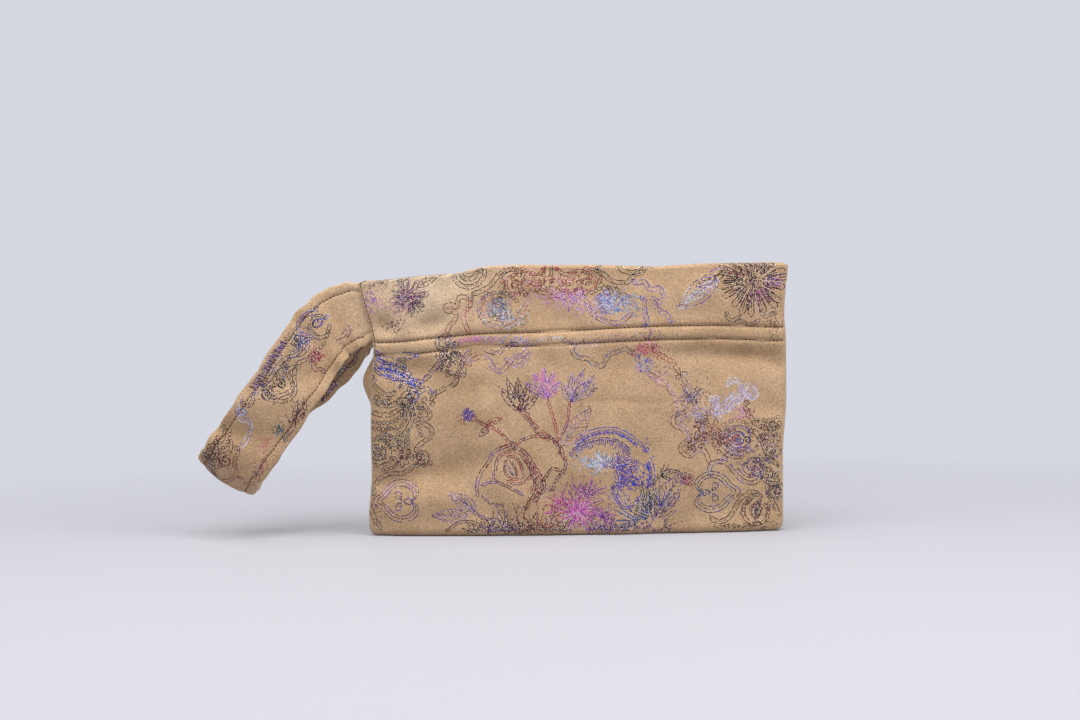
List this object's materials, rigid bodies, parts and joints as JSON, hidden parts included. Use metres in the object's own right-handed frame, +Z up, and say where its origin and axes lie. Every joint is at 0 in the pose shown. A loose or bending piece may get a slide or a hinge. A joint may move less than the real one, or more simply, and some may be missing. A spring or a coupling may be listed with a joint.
{
  "type": "clutch bag",
  "caption": "Soft faux-suede clutch bag with a foil-printed scroll and flower pattern, a stitched-down facing at its open mouth, a hidden magnetic snap and a wrist strap loop.",
  "frame": {"origin": "on the ground under the front panel's share of the base, at the middle of the body's width, with the base seam 5 mm behind it", "axes": "+X to the right as seen from the front, with the wrist strap on the -X side; +Y from front to back; +Z up from the base to the mouth"},
  "size_m": [0.3655, 0.0354, 0.1663],
  "materials": {
    "suede": "matt napped faux suede with a fine multicoloured foil print",
    "lining": "plain woven lining",
    "nickel": "satin nickel plate"
  },
  "bodies": {
    "root": {"front_panel": "suede", "back_panel": "suede", "front_lining": "lining", "back_lining": "lining", "wrist_strap": "suede", "snap_socket": "nickel", "snap_stud": "nickel", "snap_socket_washer": "nickel", "snap_stud_washer": "nickel"}
  },
  "joints": []
}
